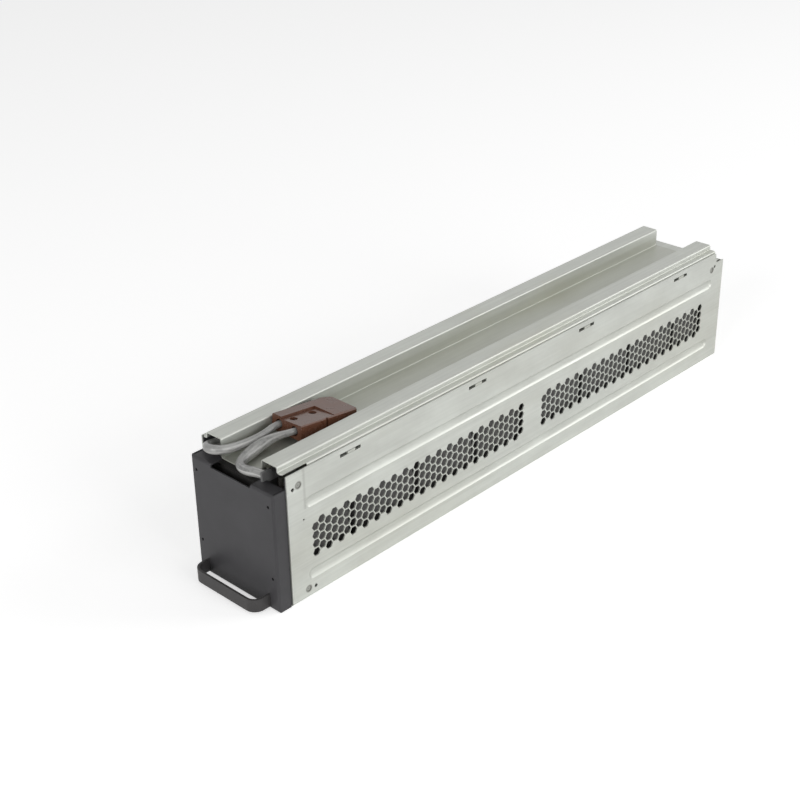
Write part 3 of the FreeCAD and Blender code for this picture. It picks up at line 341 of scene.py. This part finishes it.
@dataclass(frozen=True)
class GalvanisedSheet(Finish):
    """Zinc-coated sheet steel with soft mottling and rolling lines along Y.

    Attributes:
        shade: Colour of the darker mottles.
        mottle: Pattern of the mottles.
        spread: Change of the roughness in the darkest and the lightest mottles.
        spread_places: Noise values at which those two are reached.
        lines: Pattern of the rolling lines.
        line_share: Share of the colour that the lines take.
        stain: Colour of the stains.
        stains: Pattern of the stains.
        stain_share: Share of the colour that a full stain takes.
        grain: Relief of the zinc.
    """

    shade: Colour = (0.50, 0.515, 0.472)
    mottle: Pattern = Pattern(45.0, 0.5, 5.0, 0.6, ((0.35, 0.0), (0.68, 1.0)))
    spread: tuple[float, float] = (-0.07, 0.08)
    spread_places: tuple[float, float] = (0.3, 0.7)
    lines: Pattern = Pattern(380.0, 0.02, stops=((0.3, 0.30), (0.7, 0.80)))
    line_share: float = 0.11
    stain: Colour = (0.40, 0.39, 0.30)
    stains: Pattern = Pattern(9.0, 0.35, 4.0, stops=((0.5, 0.0), (0.75, 1.0)))
    stain_share: float = 0.3
    grain: Relief = Relief(1400.0, 0.2, 2.0, strength=0.15, depth=0.04)

    def detail(self, tree: NodeTree, shader: bpy.types.Node) -> None:
        """Add mottling, rolling lines, stains, marks with any painted shade, and a fine grain.

        Args:
            tree: The material's nodes.
            shader: The material's shader, which takes the detail.
        """
        mottle = tree.noise(self.mottle)
        base = tree.blend(tree.ramp(mottle, self.mottle.stops), self.shade, self.colour)
        lined = tree.blend(self.line_share, base, tree.shades(self.lines))
        share = tree.calculate("MULTIPLY", tree.shades(self.stains), self.stain_share)
        tree.feed(shader, Base_Color=self.marks_and_shade(tree, tree.blend(share, lined, self.stain)))
        levels = [self.roughness + change for change in self.spread]
        rough = tree.ramp(mottle, tuple(zip(self.spread_places, levels)))
        tree.feed(shader, Roughness=rough, Normal=tree.raised(self.grain))

    def marks_and_shade(self, tree: NodeTree, base: bpy.types.NodeSocket) -> bpy.types.NodeSocket:
        """Return the sheet's colour with its marks and painted shade. Plain sheet has none."""
        return base


@dataclass(frozen=True)
class ValleyShadedSheet(GalvanisedSheet):
    """Galvanised sheet with painted shade low in the cover's valley.

    Attributes:
        valley_shade: Colour of the painted shade.
        valley_shade_foot: Height at which the painted shade is full, in millimetres.
        valley_shade_top: Height at which it ends, in millimetres.
        valley_shade_cloud: Pattern of the painted shade's strength.
    """

    valley_shade: Colour = (0.31, 0.31, 0.25)
    valley_shade_foot: float = 117.0
    valley_shade_top: float = 122.0
    valley_shade_cloud: Pattern = Pattern(16.0, 0.3, 4.0, stops=((0.3, 0.2), (0.7, 0.5)))

    def marks_and_shade(self, tree: NodeTree, base: bpy.types.NodeSocket) -> bpy.types.NodeSocket:
        """Lay painted shade low in the valley.

        Args:
            tree: The material's nodes.
            base: The clean sheet's colour.

        Returns:
            The colour with the painted shade.
        """
        # Painted shade: full below valley_shade_foot, none above valley_shade_top, in a cloudy pattern.
        depth = tree.calculate("SUBTRACT", self.valley_shade_top * MM, tree.split(tree.place())["Z"])
        share = tree.calculate("DIVIDE", depth, (self.valley_shade_top - self.valley_shade_foot) * MM)
        low = tree.ramp(share, ((0.0, 0.0), (1.0, 1.0)))
        return tree.blend(tree.calculate("MULTIPLY", low, tree.shades(self.valley_shade_cloud)), base, self.valley_shade)


@dataclass(frozen=True)
class WeldedSheet(GalvanisedSheet):
    """Galvanised sheet with the scorched rings of its spot welds and painted shade along a press crease.

    Attributes:
        welds: Distance from the panel's face and height of each weld, in millimetres.
        weld_size: Radius of a scorched ring in millimetres.
        ring: Strength of the scorch from a ring's middle to its edge.
        scorch_and_crease_shade: Colour of the rings, and of the painted shade along the crease.
        crease_shade_line: Distance of the painted crease shade from the panel's face in millimetres.
        crease_shade_width: Half of the painted shade's width in millimetres.
        crease_shade_strength: Strength of the painted shade along its middle.
        crease_shade_foot: Lower end of the painted shade in millimetres.
    """

    welds: tuple[tuple[float, float], ...] = ((25.5, 108.3), (31.0, 8.9), (604.5, 103.5))
    weld_size: float = 4.2
    ring: Stops = ((0.0, 0.8), (0.3, 0.5), (0.6, 0.75), (1.0, 0.0))
    scorch_and_crease_shade: Colour = (0.11, 0.105, 0.09)
    crease_shade_line: float = 31.5
    crease_shade_width: float = 2.2
    crease_shade_strength: float = 0.22
    crease_shade_foot: float = 84.0

    def marks_and_shade(self, tree: NodeTree, base: bpy.types.NodeSocket) -> bpy.types.NodeSocket:
        """Scorch the welds and paint shade along the press crease.

        Args:
            tree: The material's nodes.
            base: The clean sheet's colour.

        Returns:
            The colour with the rings and the painted crease shade.
        """
        flat = tree.place((0.0, 1.0, 1.0))
        for along, level in self.welds:
            reach = tree.add("ShaderNodeVectorMath", operation="DISTANCE")
            reach.inputs[1].default_value = (0.0, (along + SHIFT_Y) * MM, level * MM)
            tree.feed(reach, Vector=flat)
            share = tree.calculate("DIVIDE", reach.outputs["Value"], self.weld_size * MM)
            base = tree.blend(tree.ramp(share, self.ring, Ramp.SMOOTH), base, self.scorch_and_crease_shade)
        # Painted shade along the crease that the press left, above its foot.
        axes = tree.split(flat)
        offset = tree.calculate("SUBTRACT", axes["Y"], (self.crease_shade_line + SHIFT_Y) * MM)
        near = tree.calculate("DIVIDE", tree.calculate("ABSOLUTE", offset), self.crease_shade_width * MM)
        crease_shade_share = tree.ramp(near, ((0.0, self.crease_shade_strength), (1.0, 0.0)), Ramp.SMOOTH)
        above = tree.calculate("GREATER_THAN", axes["Z"], self.crease_shade_foot * MM)
        return tree.blend(tree.calculate("MULTIPLY", crease_shade_share, above), base, self.scorch_and_crease_shade)


@dataclass(frozen=True)
class PowderCoat(Finish):
    """Satin powder coat with a fine orange-peel surface.

    Attributes:
        gloss: Specular level.
        tone: Pattern of the paler areas.
        lift: How many times brighter they are.
        peel: Relief of the orange peel.
    """

    gloss: float = 0.22
    tone: Pattern = Pattern(30.0, detail=4.0, stops=((0.35, 0.0), (0.7, 1.0)))
    lift: float = 1.18
    peel: Relief = Relief(900.0, detail=2.0, strength=0.25, depth=0.06)

    def detail(self, tree: NodeTree, shader: bpy.types.Node) -> None:
        """Add a slight change of tone and the orange peel.

        Args:
            tree: The material's nodes.
            shader: The material's shader, which takes the detail.
        """
        shader.inputs["Specular IOR Level"].default_value = self.gloss
        light = tuple(channel * self.lift for channel in self.colour)
        tree.feed(shader, Base_Color=tree.blend(tree.shades(self.tone), self.colour, light))
        tree.feed(shader, Normal=tree.raised(self.peel))


@dataclass(frozen=True)
class Moulding(Finish):
    """Moulded plastic with a fine spark-eroded grain and handling marks.

    Attributes:
        marks: Pattern of the handling marks.
        wear: Share of the colour that a full mark takes.
        lift: How many times brighter a mark is.
        haze: Grey that a mark adds.
        dulling: What a mark adds to the roughness.
        grain: Relief of the grain.
    """

    marks: Pattern = Pattern(60.0, detail=6.0, roughness=0.7, stops=((0.5, 0.0), (0.8, 1.0)))
    wear: float = 0.25
    lift: float = 1.9
    haze: float = 0.01
    dulling: float = 0.15
    grain: Relief = Relief(1200.0, detail=2.0, strength=0.2, depth=0.05)

    def detail(self, tree: NodeTree, shader: bpy.types.Node) -> None:
        """Add the grain and faint marks.

        Args:
            tree: The material's nodes.
            shader: The material's shader, which takes the detail.
        """
        marks = tree.shades(self.marks)
        light = tuple(channel * self.lift + self.haze for channel in self.colour)
        light = tuple(min(1.0, channel) for channel in light)
        share = tree.calculate("MULTIPLY", marks, self.wear)
        tree.feed(shader, Base_Color=tree.blend(share, self.colour, light))
        dull = min(1.0, self.roughness + self.dulling)
        rough = tree.ramp(marks, ((0.0, self.roughness), (1.0, dull)))
        tree.feed(shader, Roughness=rough, Normal=tree.raised(self.grain))


@dataclass(frozen=True)
class PlatedMetal(Finish):
    """Plated contact metal with fine lines and a slight tarnish.

    Attributes:
        tarnish: Colour of the tarnish.
        dull: Pattern of the tarnish.
        lines: Relief of the lines along Y.
    """

    tarnish: Colour = (0.45, 0.40, 0.32)
    dull: Pattern = Pattern(120.0, detail=4.0, stops=((0.45, 0.0), (0.75, 0.5)))
    lines: Relief = Relief(2500.0, 0.05, 2.0, strength=0.2, depth=0.03)

    def detail(self, tree: NodeTree, shader: bpy.types.Node) -> None:
        """Add tarnish and fine lines.

        Args:
            tree: The material's nodes.
            shader: The material's shader, which takes the detail.
        """
        tree.feed(shader, Base_Color=tree.blend(tree.shades(self.dull), self.colour, self.tarnish))
        tree.feed(shader, Normal=tree.raised(self.lines))


@dataclass(frozen=True)
class LeadSleeve(Finish):
    """Translucent sleeve, wrinkled along its length, over a grey stranded lead, with painted highlight
    and shade.

    Attributes:
        streak_highlight: Colour of the painted highlight streaks.
        streaks: Pattern of the painted highlight streaks and of their wrinkles on the unrolled sleeve.
        unrolled: Stretch of the unrolled sleeve along the lead and around it.
        fold_shade: Colour of the painted shade in the folds.
        folds: Pattern of the folds.
        fold_places: Noise values at which a fold begins and is full.
        crumple: How strong the folds are, in their painted shade and in their wrinkles.
        wrinkle: Depth of the wrinkles in millimetres.
        smooth_bump: Strength of the wrinkles on a sleeve without folds.
        crumple_bump: What full folds add to that strength.
        coat: Weight of the clear coat.
        coat_roughness: Roughness of the clear coat.
    """

    streak_highlight: Colour = (0.56, 0.56, 0.54)
    streaks: Pattern = Pattern(1.6, roughness=0.5, stops=((0.45, 0.0), (0.68, 0.75)))
    unrolled: Point = (1.5, 5.0, 1.0)
    fold_shade: Colour = (0.15, 0.15, 0.145)
    folds: Pattern = Pattern(190.0, detail=4.0, roughness=0.6)
    fold_places: tuple[float, float] = (0.46, 0.64)
    crumple: float = 0.5
    wrinkle: float = 1.0
    smooth_bump: float = 0.4
    crumple_bump: float = 0.5
    coat: float = 0.5
    coat_roughness: float = 0.18

    def detail(self, tree: NodeTree, shader: bpy.types.Node) -> None:
        """Add long streaks of painted highlight, painted shade in the folds, the wrinkles and the clear
        coat.

        Args:
            tree: The material's nodes.
            shader: The material's shader, which takes the detail.
        """
        streaks = tree.noise(self.streaks, tree.place(self.unrolled, "UV"))
        folds = tree.noise(self.folds)
        # Painted shade darkens the folds and painted highlight lightens the streaks.
        fold_shade_share = tree.ramp(folds, tuple(zip(self.fold_places, (0.0, self.crumple))))
        pale = tree.ramp(streaks, self.streaks.stops, Ramp.SMOOTH)
        body = tree.blend(fold_shade_share, self.colour, self.fold_shade)
        tree.feed(shader, Base_Color=tree.blend(pale, body, self.streak_highlight))
        height = tree.calculate("MULTIPLY_ADD", folds, self.crumple, streaks)
        strength = self.smooth_bump + self.crumple_bump * self.crumple
        tree.feed(shader, Normal=tree.bump(height, strength, self.wrinkle))
        shader.inputs["Coat Weight"].default_value = self.coat
        shader.inputs["Coat Roughness"].default_value = self.coat_roughness


STEEL = GalvanisedSheet("galvanised_sheet", (0.575, 0.595, 0.548), 0.45, 0.39)
# The tray's sheet has real weld scorch and painted shade along a press crease.
TRAY_STEEL = WeldedSheet("welded_sheet_with_crease_shade", (0.575, 0.595, 0.548), 0.45, 0.39)
# The cover's sheet has real stains and painted shade low in its valley.
COVER_STEEL = ValleyShadedSheet("valley_shaded_sheet", (0.57, 0.588, 0.54), 0.45, 0.39,
                         stain=(0.40, 0.395, 0.27), stain_share=0.5)
PANEL_COAT = PowderCoat("charcoal_coat", (0.050, 0.049, 0.052), 0.0, 0.46)
HANDLE_COAT = PowderCoat("handle_coat", (0.054, 0.052, 0.052), 0.0, 0.44)
CASE = Moulding("battery_case", (0.060, 0.058, 0.056), 0.0, 0.55)
BROWN = Moulding("brown_moulding", (0.112, 0.046, 0.026), 0.0, 0.27, wear=0.35)
NYLON = Moulding("natural_nylon", (0.62, 0.61, 0.56), 0.0, 0.40)
SMOKE = Moulding("smoke_nylon", (0.075, 0.075, 0.075), 0.0, 0.38)
FOAM = Moulding("spacer_foam", (0.040, 0.040, 0.040), 0.0, 0.85)
TINNED = PlatedMetal("tinned_metal", (0.72, 0.70, 0.65), 1.0, 0.32)
SILVER = PlatedMetal("silver_contact", (0.80, 0.79, 0.76), 1.0, 0.25)
# Both sleeves have painted highlight streaks and painted shade in their folds. The crumpled one has more
# shade.
SLEEVE = LeadSleeve("lead_sleeve", (0.29, 0.29, 0.28), 0.0, 0.30)
CRUMPLED = LeadSleeve("crumpled_sleeve", (0.27, 0.27, 0.26), 0.0, 0.30, crumple=0.95)

NODE_FINISHES: dict[str, Finish] = {
    "rear_wall": STEEL,
    "front_panel": PANEL_COAT,
    "pull_handle": HANDLE_COAT,
    "terminal_tabs": TINNED,
    "return_strap": TINNED,
    "foam_spacers": FOAM,
    "connector_housing": BROWN,
    "connector_contact_left": SILVER,
    "connector_contact_right": SILVER,
    "left_lead_terminal": NYLON,
    "right_lead_terminal": SMOKE,
    **{f"battery_{number}": CASE for number in range(1, 9)},
    **{f"link_strap_{number}": TINNED for number in range(1, 8)},
}


# ---------------------------------------------------------------- studio


@dataclass(frozen=True)
class Lamp:
    """One square area lamp, with its places and size in metres.

    Attributes:
        name: The lamp's name.
        place: Where it stands.
        aim: The point that it faces.
        size: Side of its square.
        power: Power in watts.
    """

    name: str
    place: Point
    aim: Point
    size: float
    power: float

    def build(self) -> None:
        """Add the lamp to the scene."""
        data = bpy.data.lights.new(self.name, "AREA")
        data.size, data.energy = self.size, self.power
        lamp = bpy.data.objects.new(self.name, data)
        lamp.location = self.place
        facing = Vector(self.aim) - Vector(self.place)
        lamp.rotation_euler = facing.to_track_quat("-Z", "Y").to_euler()
        bpy.context.scene.collection.objects.link(lamp)


@dataclass
class Studio:
    """Camera, pale floor and soft lamps, in metres.

    Attributes:
        eye: Place of the camera.
        turn: Rotation of the camera in degrees.
        lens: Focal length in millimetres on the sensor.
        sensor: Width of the sensor in millimetres.
        clip: Nearest and farthest distance that the camera sees.
        sky: Strength of the sky's soft light.
        floor_size: Side of the floor.
        floor_tone: Grey level of the floor.
        floor_roughness: Roughness of the floor.
        floor_lift: What the floor's look gains over its lit tone to end at white.
        lamps: The lamps.
    """

    eye: Point = (0.7707, -0.9138, 0.6893)
    turn: Point = (62.0344, 0.8880, 43.3877)
    lens: float = 65.42
    sensor: float = 36.0
    clip: tuple[float, float] = (0.01, 100.0)
    sky: float = 0.31
    floor_size: float = 6.5
    floor_tone: float = 0.86
    floor_roughness: float = 0.9
    floor_lift: float = 0.52
    lamps: tuple[Lamp, ...] = (
        Lamp("right", (2.5, -0.1, 0.7), (0.0, 0.05, 0.06), 1.6, 25.0),
        Lamp("front", (0.3, -2.7, 0.9), (0.0, -0.2, 0.06), 1.6, 30.0),
        Lamp("highlight", (1.7, 2.2, 1.5), (0.0, 0.0, 0.06), 1.4, 23.0),
    )

    def set_camera(self) -> None:
        """Place the camera and make it the scene's own."""
        data = bpy.data.cameras.new("camera")
        data.lens, data.sensor_width = self.lens, self.sensor
        data.clip_start, data.clip_end = self.clip
        camera = bpy.data.objects.new("camera", data)
        camera.location = self.eye
        camera.rotation_euler = Euler([math.radians(angle) for angle in self.turn], "XYZ")
        bpy.context.scene.collection.objects.link(camera)
        bpy.context.scene.camera = camera

    def seen(self, tree: NodeTree) -> bpy.types.NodeSocket:
        """Tell the rays that look at a surface from those that light it.

        Args:
            tree: The nodes to add to.

        Returns:
            1 for rays from the camera, a mirror or through glass, and 0 for all others.
        """
        rays = tree.add("ShaderNodeLightPath")
        share = tree.calculate("MAXIMUM", rays.outputs["Is Camera Ray"], rays.outputs["Is Glossy Ray"])
        return tree.calculate("MAXIMUM", share, rays.outputs["Is Transmission Ray"])

    def lay_floor(self) -> None:
        """Lay a wide pale floor that looks white and keeps the cartridge's shadow."""
        bpy.ops.object.select_all(action="DESELECT")
        bpy.ops.mesh.primitive_plane_add(size=self.floor_size, location=(0.0, 0.0, 0.0))
        floor = bpy.context.active_object
        floor.name = "floor"
        material = bpy.data.materials.new("pale_floor")
        material.use_nodes = True
        shader = material.node_tree.nodes["Principled BSDF"]
        shader.inputs["Base Color"].default_value = (*[self.floor_tone] * 3, 1.0)
        shader.inputs["Roughness"].default_value = self.floor_roughness
        shader.inputs["Specular IOR Level"].default_value = 0.0
        tree = NodeTree(material)
        shader.inputs["Emission Color"].default_value = (1.0, 1.0, 1.0, 1.0)
        tree.feed(shader, Emission_Strength=tree.calculate("MULTIPLY", self.seen(tree), self.floor_lift))
        floor.data.materials.append(material)

    def light(self) -> None:
        """Set the world and the lamps."""
        scene = bpy.context.scene
        scene.view_settings.view_transform = "Standard"
        world = bpy.data.worlds.new("studio")
        world.use_nodes = True
        background = world.node_tree.nodes["Background"]
        background.inputs["Color"].default_value = (1.0, 1.0, 1.0, 1.0)
        tree = NodeTree(world)
        level = tree.calculate("MULTIPLY_ADD", self.seen(tree), 1.0 - self.sky, self.sky)
        tree.feed(background, Strength=level)
        scene.world = world
        for lamp in self.lamps:
            lamp.build()

    def build(self) -> None:
        """Build the whole studio."""
        self.set_camera()
        self.lay_floor()
        self.light()
        LOG.info("set up the studio")


# ---------------------------------------------------------------- leads


@dataclass
class Lead:
    """One sleeved lead between a ridge of the cover and the connector.

    Attributes:
        name: The piece's name.
        node: The frame's solid that it stands for.
        finish: Finish of the sleeve.
        route: Control points in millimetres, measured from the face of the front panel.
        widths: Share of the diameter that the sleeve has at each control point.
        length: Length from end to end in millimetres. Not used.
        companions: Frame nodes that lie on the lead. Not used.
        diameter: Outside diameter in millimetres.
        steps: Steps of the curve between two control points.
        roundness: How finely the sleeve's section is divided.
    """

    name: str
    node: str
    finish: LeadSleeve
    route: tuple[Point, ...]
    widths: tuple[float, ...]
    length: float
    companions: tuple[str, ...]
    diameter: float = 7.8
    steps: int = 12
    roundness: int = 8

    def points(self) -> list[Vector]:
        """Return the control points in metres in the frame."""
        return [Vector((x * MM, (y + SHIFT_Y) * MM, z * MM)) for x, y, z in self.route]

    def build(self, frame: dict) -> None:
        """Lay the lead as a smooth curve.
        """
        data = bpy.data.curves.new(self.name, "CURVE")
        data.dimensions = "3D"
        spline = data.splines.new("NURBS")
        points = self.points()
        spline.points.add(len(points) - 1)
        for target, point, width in zip(spline.points, points, self.widths, strict=True):
            target.co = (*point, 1.0)
            target.radius = width
        spline.order_u = 3
        spline.use_endpoint_u = True
        spline.resolution_u = self.steps
        data.bevel_depth = self.diameter * MM / 2
        data.bevel_resolution = self.roundness
        data.use_fill_caps = True
        data.materials.append(self.finish.build())
        lead = bpy.data.objects.new(self.name, data)
        bpy.context.scene.collection.objects.link(lead)
        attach(lead, "root")
        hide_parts(self.node)
        LOG.info("laid %s", self.name)


LEFT_ROUTE: tuple[Point, ...] = (
    (-35.0, 25.2, 115.6), (-36.9, 17.0, 116.4), (-36.6, 8.6, 118.2), (-30.9, 3.65, 119.8),
    (-22.7, 4.5, 120.6), (-17.6, 12.3, 119.8), (-16.7, 24.4, 118.4), (-15.8, 36.6, 118.0),
    (-14.2, 48.6, 119.6), (-13.4, 60.58, 123.51), (-12.98, 68.93, 122.69),
)
RIGHT_ROUTE: tuple[Point, ...] = (
    (31.6, 7.9, 118.0), (24.6, 7.7, 117.6), (16.4, 6.2, 116.2), (8.2, 5.6, 115.4),
    (0.6, 9.6, 115.1), (-3.6, 18.2, 115.0), (-6.0, 27.6, 115.2), (-7.2, 37.0, 116.4),
    (-5.4, 46.0, 119.0), (-0.8, 54.0, 121.6), (5.76, 59.68, 124.25), (6.18, 68.03, 123.43),
)
LEFT_WIDTHS: tuple[float, ...] = (1.0, 1.0, 1.0, 1.04, 1.04, 1.0, 0.95, 0.9, 0.8, 0.72, 0.72)
RIGHT_WIDTHS: tuple[float, ...] = (0.95, 1.0, 1.05, 1.0, 1.0, 1.2, 1.36, 1.34, 1.1, 0.8, 0.7, 0.7)

LEADS: tuple[Lead, ...] = (
    Lead("left_lead_sleeve", "left_lead", SLEEVE, LEFT_ROUTE, LEFT_WIDTHS, 98.4,
         ("connector_housing", "connector_contact_left")),
    Lead("right_lead_sleeve", "right_lead", CRUMPLED, RIGHT_ROUTE, RIGHT_WIDTHS, 96.5,
         ("connector_contact_right",)),
)


# ---------------------------------------------------------------- mesh work


def only(piece: bpy.types.Object) -> None:
    """Select one object alone and make it active.

    Args:
        piece: The object to select.
    """
    bpy.ops.object.select_all(action="DESELECT")
    piece.select_set(True)
    bpy.context.view_layer.objects.active = piece


def twin(frame: dict, node: str, name: str) -> bpy.types.Object:
    """Copy a frame node as a clean mesh of its own.

    Args:
        node: The node to copy.
        name: The new piece's name.

    Returns:
        The copy, selected and active, with its doubled points merged.
    """
    piece = frame["nodes"][node].copy()
    piece.data = frame["nodes"][node].data.copy()
    piece.name = piece.data.name = name
    bpy.context.scene.collection.objects.link(piece)
    only(piece)
    bpy.ops.mesh.customdata_custom_splitnormals_clear()
    bpy.ops.object.mode_set(mode="EDIT")
    bpy.ops.mesh.select_all(action="SELECT")
    bpy.ops.mesh.remove_doubles(threshold=MERGE_REACH)
    bpy.ops.object.mode_set(mode="OBJECT")
    return piece


def finish_piece(piece: bpy.types.Object, material: bpy.types.Material,
                 stands_for: Iterable[str] = (), angle: float = 30.0) -> None:
    """Args:
        piece: The finished mesh object.
        material: Its material.
        stands_for: Frame nodes that it replaces.
        angle: Edges sharper than this stay sharp, in degrees.
    """
    only(piece)
    bpy.ops.object.shade_smooth_by_angle(angle=math.radians(angle))
    level = piece.modifiers.new("level_faces", "WEIGHTED_NORMAL")
    level.keep_sharp, level.weight = True, FACE_WEIGHT
    bpy.ops.object.modifier_apply(modifier=level.name)
    piece.data.materials.clear()
    piece.data.materials.append(material)
    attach(piece, "root")
    for node in stands_for:
        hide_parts(node)
    LOG.info("built %s", piece.name)


@dataclass
class Tray:
    """The folded tray with both of its sides perforated.

    Attributes:
        name: The piece's name.
        node: The frame node that it is copied from and replaces.
        finish: Its finish.
        seam: Points this close to the middle are joined with their mirrored ones, in millimetres.
    """

    name: str = "folded_tray"
    node: str = "tray"
    finish: Finish = TRAY_STEEL
    seam: float = 0.01

    def build(self, frame: dict) -> None:
        """Mirror the frame's perforated half and dress the whole.
        """
        tray = twin(frame, self.node, self.name)
        bpy.ops.object.mode_set(mode="EDIT")
        bpy.ops.mesh.select_all(action="SELECT")
        bpy.ops.mesh.bisect(plane_co=(0.0, 0.0, 0.0), plane_no=(1.0, 0.0, 0.0), clear_inner=True)
        bpy.ops.object.mode_set(mode="OBJECT")
        mirror = tray.modifiers.new("other_side", "MIRROR")
        mirror.merge_threshold = self.seam * MM
        bpy.ops.object.modifier_apply(modifier=mirror.name)
        finish_piece(tray, self.finish.build(), (self.node,))


@dataclass
class Cover:
    """The ridged cover over the blocks.

    Attributes:
        name: The piece's name.
        node: The frame node that it is copied from and replaces.
        finish: Its finish.
    """

    name: str = "ridged_cover"
    node: str = "cover"
    finish: Finish = COVER_STEEL

    def build(self, frame: dict) -> None:
        """Copy the frame's cover with clean shading on its folds."""
        finish_piece(twin(frame, self.node, self.name), self.finish.build(), (self.node,))


# ---------------------------------------------------------------- dressing


def dress(frame: dict, finishes: dict[str, Finish]) -> None:
    """Give frame nodes their materials, with one material for each finish.

    Args:
        finishes: The finish of each node by the node's name.
    """
    materials = {finish.name: finish.build() for finish in dict.fromkeys(finishes.values())}
    for node, finish in finishes.items():
        slots = frame["nodes"][node].data.materials
        slots.clear()
        slots.append(materials[finish.name])
        LOG.info("dressed %s with %s", node, finish.name)


def main() -> None:
    """Build the studio and every piece in order."""
    logging.basicConfig(level=logging.INFO, format="%(message)s")
    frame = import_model()
    bpy.ops.object.select_all(action="DESELECT")
    Studio().build()
    for lead in LEADS:
        lead.build(frame)
    Tray().build(frame)
    Cover().build(frame)
    dress(frame, NODE_FINISHES)


if __name__ == "__main__":
    main()
